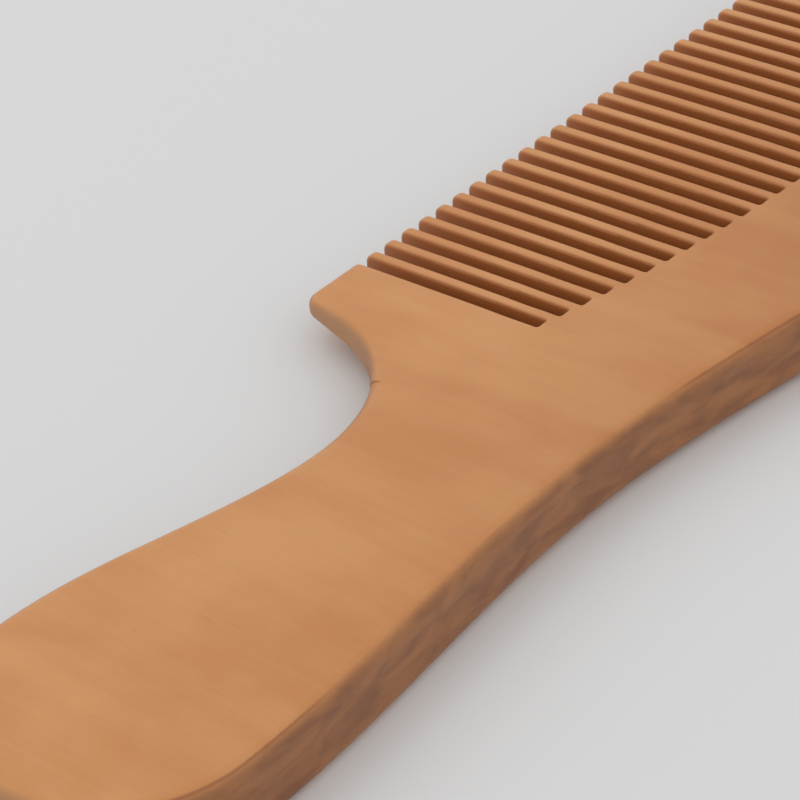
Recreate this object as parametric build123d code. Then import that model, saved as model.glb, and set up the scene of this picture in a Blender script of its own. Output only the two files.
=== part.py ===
from build123d import *
import math
import os

# Wooden comb with a handle, sawn and sanded from one board. All sizes are in millimetres.
# Working frame: X runs along the comb from the middle of the tooth row towards the head's free
# end, Y runs from the tip line towards where the teeth point, Z is measured from the middle of
# the board. The finished pieces are moved so that the origin is the middle of the underside.

# Board
BOARD_THICK = 8.0            # the grip keeps the full board
EDGE_ROUND = 1.5             # sanded rounding along the grip and the back
ROUND_SHARE = 0.49           # no rounding takes more than this share of its wall
# Tooth row
TOOTH_COUNT = 32
TOOTH_WIDTH = 1.3
GAP_WIDTH = 1.45
TIP_THICK = 2.2              # board left at the tip line
BACK_THICK = 7.9             # board left at the arched back
FACE_BULGE = 0.26            # how far each tapered face stands proud of a straight taper
TIP_NOSE = 1.0               # rounding of a tip, seen from the side
TOOTH_ROUND = 0.42           # rounded edges along each tooth and around each slot's mouth
STUB_LENGTH = 1.0            # a tooth is divided from the back this far above its slots
SLOT_CORNER = 0.2            # corners at a slot's bottom
# Head
ROOT_DEPTH = 28.8            # tip line to the deepest slot bottom
ROOT_RADIUS = 178.0          # the slot bottoms lie on this arc
HEAD_DEPTH = 46.25           # tip line to the top of the arched back
ARCH_RADIUS = 182.0          # arched back towards the free end
FRONT_CORNER = 12.0          # rounded corner between the back and the front guard
# End guards
FRONT_GUARD_WIDTH = 7.8
REAR_GUARD_WIDTH = 8.0       # at the tip line
REAR_GUARD_SIDE = 5.65       # straight stretch of the rear guard's outer side
REAR_GUARD_LEAN = 12.0       # degrees that this stretch leans outwards
GUARD_CORNER = 1.8           # outer tip corners
GUARD_ROUND = 1.0            # rounding of the guards' outer edges
# Neck, placed from the rear guard's tip corner and the tip line
HOLLOW_DEPTH = 19.4          # deepest place of the finger hollow
HOLLOW_REACH = 22.0
HOLLOW_SWEEP = 1.12          # fullness of the curve from the hollow to the guard
NECK_BACK_DEPTH = 41.15      # shallowest place of the back
NECK_BACK_REACH = 7.0
NECK_SEAM_REACH = 8.0        # where the handle meets the head
BLEND_START = 2.0            # the tapered faces rise to the full board from here...
BLEND_RUN = 35.0             # ...over this length
BLEND_STATIONS = 8
# Grip
HANDLE_LENGTH = 73.5         # rear guard's tip corner to the end of the grip
GRIP_WIDTH = 30.8
GRIP_DEPTH = 29.35           # tip line to the grip's centre line

# Finding edges and faces
TOLERANCE = 0.01             # millimetres
ALONG = 0.99                 # a unit direction with at least this share runs along the axis
UPRIGHT = 0.1                # an upright wall's normal has less than this share of Z
LEVEL = 0.5                  # an edge with less than this share of Z runs round a face

# Worked out from the sizes above
PITCH = TOOTH_WIDTH + GAP_WIDTH
ROW_HALF = (TOOTH_COUNT * PITCH + GAP_WIDTH) / 2
REAR_X = -ROW_HALF - REAR_GUARD_WIDTH
FRONT_X = ROW_HALF + FRONT_GUARD_WIDTH
END_X = REAR_X - HANDLE_LENGTH
GRIP_RADIUS = GRIP_WIDTH / 2
SEAM_X = REAR_X - NECK_SEAM_REACH
HALF_BOARD = BOARD_THICK / 2
FACE_RISE = (BACK_THICK - TIP_THICK) / 2
BLEND_X = REAR_X - BLEND_START
SPARE = 20.0                 # how far cutting shapes reach past the comb


def root_depth(x):
    """Depth of the slot-bottom arc below the tip line."""
    return ROOT_DEPTH - ROOT_RADIUS + math.sqrt(ROOT_RADIUS**2 - x**2)


def gap_x(index):
    """Middle of a gap; gap 0 is beside the rear guard."""
    return -ROW_HALF + GAP_WIDTH / 2 + index * PITCH


def face_height(depth):
    """Height of a tapered face above the middle of the board: full, and steepest at the tips."""
    share = depth / HEAD_DEPTH
    return TIP_THICK / 2 + FACE_RISE * share + 4 * FACE_BULGE * share * (1 - share)


def face_arc(low_y, high_y):
    """A stretch of the face's shallow arc, seen along the comb."""
    middle_y = (low_y + high_y) / 2
    return ThreePointArc(*[(y, face_height(-y)) for y in (low_y, middle_y, high_y)])


def rising_curve(low_y, high_y, rise):
    """The same stretch where the neck rises from 0, tapered, to 1, level with the full board."""
    low = face_height(-low_y)
    high = face_height(-high_y)
    middle_y = (low_y + high_y) / 2
    pull = 2 * face_height(-middle_y) - (low + high) / 2
    heights = [height + (HALF_BOARD - height) * rise for height in (low, pull, high)]
    return Bezier((low_y, heights[0]), (middle_y, heights[1]), (high_y, heights[2]))


def divide_y(index):
    """Where what stands between two slots is divided from the back."""
    depths = [root_depth(gap_x(slot)) for slot in (index, index + 1) if 0 <= slot <= TOOTH_COUNT]
    return STUB_LENGTH - min(depths)


GUARD_SEAM = max(divide_y(-1), divide_y(TOOTH_COUNT))


def outline():
    """Plan of the whole comb, before the slots are sawn."""
    lean = math.radians(REAR_GUARD_LEAN)
    up_side = Vector(math.sin(lean), math.cos(lean))
    side_top = Vector(REAR_X, 0)
    side_foot = side_top - up_side * REAR_GUARD_SIDE
    hollow = Vector(REAR_X - HOLLOW_REACH, -HOLLOW_DEPTH)
    grip_far = Vector(END_X + GRIP_RADIUS, GRIP_RADIUS - GRIP_DEPTH)
    grip_end = Vector(END_X, -GRIP_DEPTH)
    grip_near = Vector(END_X + GRIP_RADIUS, -GRIP_RADIUS - GRIP_DEPTH)
    neck_back = Vector(REAR_X - NECK_BACK_REACH, -NECK_BACK_DEPTH)
    arch_top = Vector(0, -HEAD_DEPTH)
    arch_drop = ARCH_RADIUS - math.sqrt(ARCH_RADIUS**2 - FRONT_X**2)
    half_drop = ARCH_RADIUS - math.sqrt(ARCH_RADIUS**2 - (FRONT_X / 2) ** 2)
    front_foot = Vector(FRONT_X, arch_drop - HEAD_DEPTH)
    front_tip = Vector(FRONT_X, 0)
    along = Vector(1, 0)
    edges = [
        Line(side_top, side_foot),
        Spline(side_foot, hollow, tangents=[-up_side, -along], tangent_scalars=[HOLLOW_SWEEP] * 2),
        Spline(hollow, grip_far, tangents=[-along, -along]),
        ThreePointArc(grip_far, grip_end, grip_near),
        Spline(grip_near, neck_back, tangents=[along, along]),
        Spline(neck_back, arch_top, tangents=[along, along]),
        ThreePointArc(arch_top, (FRONT_X / 2, half_drop - HEAD_DEPTH), front_foot),
        Line(front_foot, front_tip),
        Line(front_tip, side_top),
    ]
    plan = make_face(edges)
    plan = fillet(corners_at(plan, front_foot), FRONT_CORNER)
    plan = fillet(corners_at(plan, front_tip), GUARD_CORNER)
    return fillet(corners_at(plan, side_top), GUARD_CORNER)


def corners_at(shape, point):
    return [v for v in shape.vertices() if (Vector(v.X, v.Y) - point).length < TOLERANCE]


def board():
    return Pos(0, 0, -HALF_BOARD) * extrude(outline(), amount=BOARD_THICK)


def waste_section(x, curve):
    """Section of the waste above a curve that crosses the whole board."""
    top = HALF_BOARD + SPARE
    sides = Polyline(curve @ 1, (SPARE, top), (-HEAD_DEPTH - SPARE, top), curve @ 0)
    section = make_face([curve, *sides.edges()])
    return Plane(origin=(x, 0, 0), x_dir=(0, 1, 0), z_dir=(1, 0, 0)) * section


def face_waste():
    """Waste planed off one face: tapered over the head, rising smoothly along the neck."""
    section = waste_section(BLEND_X, face_arc(-HEAD_DEPTH - SPARE, SPARE))
    head = extrude(section, amount=FRONT_X - BLEND_X + SPARE)
    sections = [section]
    for index in range(1, BLEND_STATIONS):
        share = index / (BLEND_STATIONS - 1)
        rise = share * share * (3 - 2 * share)
        curve = rising_curve(-HEAD_DEPTH - SPARE, SPARE, rise)
        sections.append(waste_section(BLEND_X - share * BLEND_RUN, curve))
    return head, loft(sections)


def blank():
    """The board with both faces tapered, still without slots."""
    shape = board()
    for waste in face_waste():
        shape -= waste
        shape -= mirror(waste, about=Plane.XY)
    return shape


def region(x_low, x_high, y_low, y_high):
    """A block through the whole board, used to take a stretch of the blank."""
    size = (x_high - x_low, y_high - y_low, BOARD_THICK + SPARE)
    return Pos((x_low + x_high) / 2, (y_low + y_high) / 2, 0) * Box(*size)


def side_rims(shape, skip):
    """Edges where the upright sides meet the two faces; skip says which sides are left alone."""
    rims = []
    for face in shape.faces():
        upright = abs(face.normal_at().Z) < UPRIGHT
        if upright and not skip(face):
            rims += [edge for edge in face.edges() if abs(edge.tangent_at(0.5).Z) < LEVEL]
    return rims


def faces_seam(face):
    """True for the flat faces where the comb is divided."""
    middle = face.center()
    across = face.geom_type == GeomType.PLANE and abs(face.normal_at().X) > ALONG
    along = face.geom_type == GeomType.PLANE and abs(face.normal_at().Y) > ALONG
    return (across and abs(middle.X - SEAM_X) < TOLERANCE) or (along and middle.Y < GUARD_SEAM + TOLERANCE)


def limited(piece, rounding):
    """The wished rounding, or less where the lowest upright wall has no room for it."""
    walls = [edge.length for edge in piece.edges() if abs(edge.tangent_at(0.5).Z) > ALONG]
    return min(rounding, min(walls) * ROUND_SHARE)


def handle(shape):
    piece = shape & region(END_X - SPARE, SEAM_X, -HEAD_DEPTH - SPARE, SPARE)
    return fillet(side_rims(piece, faces_seam), limited(piece, EDGE_ROUND))


def rear_guard(shape):
    return guard(shape, SEAM_X, -ROW_HALF, -ROW_HALF)


def front_guard(shape):
    return guard(shape, ROW_HALF, FRONT_X + SPARE, ROW_HALF)


def guard(shape, x_low, x_high, gap_side):
    """An end guard: rounded outside and at the tip, with broken edges beside the gap."""
    wide = shape & region(x_low - PITCH, x_high + PITCH, GUARD_SEAM, SPARE)
    cut_ends = (x_low - PITCH, x_high + PITCH)

    def left_alone(face):
        at_cut = any(abs(face.center().X - end) < TOLERANCE for end in cut_ends)
        return at_cut or faces_seam(face)

    wide = fillet(side_rims(wide, left_alone), limited(wide, GUARD_ROUND))
    piece = wide & region(x_low, x_high, GUARD_SEAM, SPARE)
    beside_gap = [
        edge for edge in piece.edges()
        if abs(edge.center().X - gap_side) < TOLERANCE and edge.center().Y > GUARD_SEAM + TOLERANCE
    ]
    return fillet(beside_gap, TOOTH_ROUND)


def slots():
    """Everything above the back's upper rim: the slots, and the room for what stands between them."""
    start = (-ROW_HALF, SPARE)
    rim = []
    floors = []
    for index in range(TOOTH_COUNT + 1):
        left = gap_x(index) - GAP_WIDTH / 2
        right = gap_x(index) + GAP_WIDTH / 2
        floor = -root_depth(gap_x(index))
        floors += [Vector(left, floor), Vector(right, floor)]
        rim += [(left, divide_y(index - 1)), (left, floor), (right, floor), (right, divide_y(index))]
    plan = make_face(Polyline(start, *rim[1:-1], (ROW_HALF, SPARE), close=True))
    plan = fillet([v for point in floors for v in corners_at(plan, point)], SLOT_CORNER)
    return Pos(0, 0, -SPARE) * extrude(plan, amount=2 * SPARE)


def spine(shape):
    """The back of the head, with the slots sawn into it and a short stub under each tooth."""
    piece = shape & region(SEAM_X, FRONT_X + SPARE, -HEAD_DEPTH - SPARE, GUARD_SEAM)
    piece = fillet(side_rims(piece, faces_seam), limited(piece, EDGE_ROUND))
    piece -= slots()
    mouths = [
        edge for edge in piece.edges()
        if beside_slot(edge.center()) and abs(edge.tangent_at(0.5).Z) < LEVEL
    ]
    return fillet(mouths, TOOTH_ROUND)


def beside_slot(point):
    """True on the walls of the slots."""
    index = round((point.X - gap_x(0)) / PITCH)
    if not 0 <= index <= TOOTH_COUNT or point.Y < -root_depth(gap_x(index)) - TOLERANCE:
        return False
    return abs(point.X - gap_x(index)) < GAP_WIDTH / 2 + TOLERANCE


def tooth(index):
    """One tapered tooth with a rounded nose and rounded edges."""
    foot = divide_y(index)
    upper = face_arc(foot, 0)
    lower = mirror(upper, about=Plane.XZ)
    tip_line = Line(upper @ 1, lower @ 1)
    foot_line = Line(lower @ 0, upper @ 0)
    profile = make_face([upper, tip_line, lower, foot_line])
    profile = fillet([v for v in profile.vertices() if abs(v.X) < TOLERANCE], TIP_NOSE)
    middle = gap_x(index) + PITCH / 2
    flank = Plane(origin=(middle, 0, 0), x_dir=(0, 1, 0), z_dir=(1, 0, 0))
    piece = extrude(flank * profile, amount=TOOTH_WIDTH / 2, both=True)
    long_edges = [
        edge for edge in piece.edges()
        if abs(edge.center().X - middle) > TOOTH_WIDTH / 4 and edge.center().Y > foot + TOLERANCE
    ]
    return fillet(long_edges, TOOTH_ROUND)


def pieces():
    """Every piece by name, in the working frame."""
    shape = blank()
    named = {
        "handle": handle(shape),
        "spine": spine(shape),
        "rear_guard": rear_guard(shape),
        "front_guard": front_guard(shape),
    }
    for index in range(TOOTH_COUNT):
        named[f"tooth_{index + 1:02d}"] = tooth(index)
    return named


def main():
    os.makedirs("parts", exist_ok=True)
    named = pieces()
    low_y = min(piece.bounding_box().min.Y for piece in named.values())
    to_origin = Pos(-(END_X + FRONT_X) / 2, -low_y / 2, HALF_BOARD)
    for name, piece in named.items():
        export_step(to_origin * piece, f"parts/{name}.step")


main()
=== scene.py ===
import math

import bpy
from mathutils import Matrix, Vector

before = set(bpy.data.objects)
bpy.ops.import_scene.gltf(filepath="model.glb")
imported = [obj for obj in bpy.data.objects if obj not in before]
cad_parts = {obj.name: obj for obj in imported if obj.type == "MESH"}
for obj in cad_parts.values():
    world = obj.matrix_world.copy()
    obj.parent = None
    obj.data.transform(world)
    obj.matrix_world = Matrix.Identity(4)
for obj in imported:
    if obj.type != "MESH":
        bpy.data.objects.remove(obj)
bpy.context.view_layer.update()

# ---------------------------------------------------------------- shader helpers


def link(tree, source, target):
    tree.links.new(source, target)


def value_into(tree, socket, source):
    """Feed a socket from another socket, or set it to a plain value."""
    if isinstance(source, bpy.types.NodeSocket):
        tree.links.new(source, socket)
    else:
        socket.default_value = source


def math_node(tree, operation, first, second=0.0, clamp=False):
    node = tree.nodes.new("ShaderNodeMath")
    node.operation = operation
    node.use_clamp = clamp
    value_into(tree, node.inputs[0], first)
    value_into(tree, node.inputs[1], second)
    return node.outputs[0]


def remap(tree, value, low, high, to_low=0.0, to_high=1.0):
    node = tree.nodes.new("ShaderNodeMapRange")
    node.interpolation_type = "SMOOTHSTEP"
    for index, source in enumerate((value, low, high, to_low, to_high)):
        value_into(tree, node.inputs[index], source)
    return node.outputs[0]


def noise(tree, place, stretch, detail=2.0, roughness=0.5, distortion=0.0):
    """Noise whose cells are 1/stretch metres along each axis."""
    mapping = tree.nodes.new("ShaderNodeMapping")
    mapping.inputs["Scale"].default_value = stretch
    link(tree, place, mapping.inputs["Vector"])
    node = tree.nodes.new("ShaderNodeTexNoise")
    node.inputs["Scale"].default_value = 1.0
    node.inputs["Detail"].default_value = detail
    node.inputs["Roughness"].default_value = roughness
    node.inputs["Distortion"].default_value = distortion
    link(tree, mapping.outputs[0], node.inputs["Vector"])
    return node.outputs["Fac"]


def blend_color(tree, factor, first, second, mode="MIX"):
    node = tree.nodes.new("ShaderNodeMix")
    node.data_type = "RGBA"
    node.blend_type = mode
    value_into(tree, node.inputs[0], factor)
    value_into(tree, node.inputs[6], first)
    value_into(tree, node.inputs[7], second)
    return node.outputs[2]


def new_group(name, inputs, outputs):
    tree = bpy.data.node_groups.new(name, "ShaderNodeTree")
    for label, kind, default in inputs:
        socket = tree.interface.new_socket(label, in_out="INPUT", socket_type=kind)
        socket.default_value = default
    for label, kind in outputs:
        tree.interface.new_socket(label, in_out="OUTPUT", socket_type=kind)
    return tree, tree.nodes.new("NodeGroupInput"), tree.nodes.new("NodeGroupOutput")


# ---------------------------------------------------------------- the wood


def grain_and_shade_group():
    """Fruitwood sawn so that its grain runs along the teeth: streaks, mottling and pores, with painted shade
    in the slots, towards the back of the spine and along the back's crease.
    """
    tree, given, result = new_group(
        "fruitwood_grain_and_shade",
        [
            ("Light", "NodeSocketColor", (0.6, 0.3, 0.14, 1)),
            ("Dark", "NodeSocketColor", (0.5, 0.22, 0.09, 1)),
            ("End Grain", "NodeSocketColor", (0.3, 0.12, 0.05, 1)),
            ("Side Grain", "NodeSocketColor", (0.3, 0.12, 0.05, 1)),
            ("Sawn Wall And Slot Shade", "NodeSocketColor", (0.3, 0.12, 0.05, 1)),
        ],
        [
            ("Color", "NodeSocketColor"),
            ("Height", "NodeSocketFloat"),
            ("Roughness", "NodeSocketFloat"),
        ],
    )
    coordinates = tree.nodes.new("ShaderNodeTexCoord")
    place = coordinates.outputs["Object"]
    mottle = noise(tree, place, (85, 50, 85), detail=3, distortion=0.3)
    bands = noise(tree, place, (260, 18, 160), detail=2, distortion=0.5)
    fibres = noise(tree, place, (1500, 45, 1500), detail=3, roughness=0.6)
    pores = noise(tree, place, (5200, 420, 5200), detail=1)
    wide = math_node(tree, "MULTIPLY", mottle, 0.66)
    middle = math_node(tree, "MULTIPLY", bands, 0.22)
    fine = math_node(tree, "MULTIPLY", fibres, 0.12)
    mixed = math_node(tree, "ADD", math_node(tree, "ADD", wide, middle), fine)
    light, dark = given.outputs["Light"], given.outputs["Dark"]
    end_grain = given.outputs["End Grain"]
    face = blend_color(tree, remap(tree, mixed, 0.36, 0.64), light, dark)
    pore = remap(tree, pores, 0.68, 0.8)
    face = blend_color(tree, math_node(tree, "MULTIPLY", pore, 0.15), face, end_grain)

    split = tree.nodes.new("ShaderNodeSeparateXYZ")
    link(tree, coordinates.outputs["Normal"], split.inputs[0])
    end = remap(tree, math_node(tree, "ABSOLUTE", split.outputs["Y"]), 0.3, 0.95)
    side = remap(tree, math_node(tree, "ABSOLUTE", split.outputs["X"]), 0.35, 0.98)
    spot = tree.nodes.new("ShaderNodeSeparateXYZ")
    link(tree, place, spot.inputs[0])
    from_row = math_node(tree, "ABSOLUTE", math_node(tree, "SUBTRACT", spot.outputs["X"], ROW_MIDDLE))
    in_row = math_node(tree, "LESS_THAN", from_row, ROW_REACH)
    above = math_node(tree, "GREATER_THAN", spot.outputs["Y"], DEEPEST_SLOT)
    # Tooth walls inside the slots: saw-cut colour plus painted shade, darker and redder between the teeth.
    sawn = math_node(tree, "MULTIPLY", in_row, above)
    wall_and_slot_shade = blend_color(tree, sawn, given.outputs["Side Grain"], given.outputs["Sawn Wall And Slot Shade"])
    # Painted shade: the face darkens towards the back of the spine and its far end, where the surface turns
    # away from the light.
    back_shade = math_node(tree, "SUBTRACT", math_node(tree, "MULTIPLY", spot.outputs["X"], 0.3), spot.outputs["Y"])
    back_shade = remap(tree, back_shade, -0.02, 0.03)
    layers = noise(tree, place, (160, 60, 520), detail=3, roughness=0.55, distortion=0.6)
    end_color = blend_color(tree, remap(tree, layers, 0.3, 0.7), end_grain, dark)
    end_color = blend_color(tree, 0.65, end_color, end_grain)
    face = blend_color(tree, back_shade, face, BACK_SHADE_TINT, "MULTIPLY")
    face = blend_color(tree, side, face, wall_and_slot_shade)
    color = blend_color(tree, end, face, end_color)

    # Painted shade: a faint dark red streak where the sanded edge meets the back, here and there, in place of
    # the shaded crease of a sanded facet that is not modelled.
    backward = math_node(tree, "MULTIPLY", split.outputs["Y"], -1.0)
    upper, lower = remap(tree, backward, 0.42, 0.52), remap(tree, backward, 0.68, 0.56)
    crease_shade = math_node(tree, "MULTIPLY", upper, lower)
    stretches = remap(tree, noise(tree, place, (32, 12, 12), detail=2), 0.44, 0.56)
    crease_shade = math_node(tree, "MULTIPLY", crease_shade, stretches)
    color = blend_color(tree, math_node(tree, "MULTIPLY", crease_shade, 0.55), color, CREASE_SHADE)
    link(tree, color, result.inputs["Color"])
    raised = math_node(tree, "MULTIPLY", fibres, 0.5)
    sunk = math_node(tree, "MULTIPLY", pore, 0.5)
    link(tree, math_node(tree, "SUBTRACT", raised, sunk), result.inputs["Height"])
    link(tree, remap(tree, mixed, 0.3, 0.7, 0.4, 0.5), result.inputs["Roughness"])
    return tree


def wood(name, tones):
    """Fine-sanded, lightly oiled fruitwood with a soft satin sheen."""
    material = bpy.data.materials.new(name)
    material.use_nodes = True
    tree = material.node_tree
    shader = tree.nodes["Principled BSDF"]
    group = tree.nodes.new("ShaderNodeGroup")
    group.node_tree = bpy.data.node_groups["fruitwood_grain_and_shade"]
    for label, tone in tones.items():
        group.inputs[label].default_value = tone
    bump = tree.nodes.new("ShaderNodeBump")
    bump.inputs["Strength"].default_value = 0.35
    bump.inputs["Distance"].default_value = 0.00006
    link(tree, group.outputs["Color"], shader.inputs["Base Color"])
    link(tree, group.outputs["Roughness"], shader.inputs["Roughness"])
    link(tree, group.outputs["Height"], bump.inputs["Height"])
    link(tree, bump.outputs["Normal"], shader.inputs["Normal"])
    shader.inputs["Specular IOR Level"].default_value = 0.45
    shader.inputs["Coat Weight"].default_value = 0.1
    shader.inputs["Coat Roughness"].default_value = 0.42
    return material


# The row of teeth, in metres: its walls were left by the saw, everything else was sanded. The walls in the
# slots are darker and redder, partly from the saw cut and partly as painted shade between the teeth.
ROW_MIDDLE = 0.03685
ROW_REACH = 0.0449
DEEPEST_SLOT = -0.0062
# Tint of the painted shade towards the back of the spine.
BACK_SHADE_TINT = (0.84, 0.77, 0.7, 1)
# Colour of the painted shade along the back's crease.
CREASE_SHADE = (0.27, 0.07, 0.022, 1)
TONES = {
    "Light": (0.705, 0.322, 0.112, 1),
    "Dark": (0.63, 0.258, 0.078, 1),
    "End Grain": (0.24, 0.09, 0.032, 1),
    "Side Grain": (0.46, 0.225, 0.1, 1),
    # Saw-cut colour of the slot sides, darkened and reddened as painted shade between the teeth.
    "Sawn Wall And Slot Shade": (0.46, 0.16, 0.045, 1),
}

grain_and_shade_group()
comb_wood = wood("sanded_fruitwood", TONES)
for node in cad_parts.values():
    node.data.materials.clear()
    node.data.materials.append(comb_wood)

# ---------------------------------------------------------------- table, light and camera


def pale_table():
    """A plain matt table top under the comb."""
    mesh = bpy.data.meshes.new("table_top")
    half = 2.0
    corners = [(-half, -half, 0), (half, -half, 0), (half, half, 0), (-half, half, 0)]
    mesh.from_pydata(corners, [], [(0, 1, 2, 3)])
    table = bpy.data.objects.new("table_top", mesh)
    bpy.context.scene.collection.objects.link(table)
    finish = bpy.data.materials.new("matt_table")
    finish.use_nodes = True
    shader = finish.node_tree.nodes["Principled BSDF"]
    shader.inputs["Base Color"].default_value = (0.8, 0.8, 0.8, 1)
    shader.inputs["Roughness"].default_value = 0.9
    shader.inputs["Specular IOR Level"].default_value = 0.1
    mesh.materials.append(finish)


def soft_light(name, direction, distance, size, power):
    """A square lamp that looks at the comb from the given direction."""
    data = bpy.data.lights.new(name, "AREA")
    data.shape = "SQUARE"
    data.size = size
    data.energy = power
    lamp = bpy.data.objects.new(name, data)
    bpy.context.scene.collection.objects.link(lamp)
    away = Vector(direction).normalized()
    lamp.location = away * distance
    lamp.rotation_euler = (-away).to_track_quat("-Z", "Y").to_euler()


def room_light(strength):
    world = bpy.data.worlds.new("studio")
    world.use_nodes = True
    background = world.node_tree.nodes["Background"]
    background.inputs["Color"].default_value = (1, 1, 1, 1)
    background.inputs["Strength"].default_value = strength
    bpy.context.scene.world = world


# Where the camera looks, in metres, from how far, and at which angles in degrees
AIM = (-0.02245, 0.00525, 0.004)
DISTANCE = 0.36883
AZIMUTH, ELEVATION, ROLL = 48.843, 35.841, 2.534
LENS = 172.56


def camera():
    """Looks over the curved back from the grip end, with a long lens."""
    aim = Vector(AIM)
    azimuth, elevation, roll = (math.radians(angle) for angle in (AZIMUTH, ELEVATION, ROLL))
    view = Vector((
        math.sin(azimuth) * math.cos(elevation),
        math.cos(azimuth) * math.cos(elevation),
        -math.sin(elevation),
    ))
    level = Vector((math.cos(azimuth), -math.sin(azimuth), 0))
    up = level.cross(view)
    right = level * math.cos(roll) - up * math.sin(roll)
    up = right.cross(view)
    data = bpy.data.cameras.new("camera")
    data.lens = LENS
    data.clip_start = 0.01
    eye = bpy.data.objects.new("camera", data)
    bpy.context.scene.collection.objects.link(eye)
    turn = Matrix((right, up, -view)).transposed().to_4x4()
    eye.matrix_world = Matrix.Translation(aim - view * DISTANCE) @ turn
    bpy.context.scene.camera = eye


pale_table()
room_light(0.785)
soft_light("window", (-0.15, 0.8, 1.0), 0.9, 0.8, 0.75)
camera()
bpy.context.scene.view_settings.view_transform = "Standard"
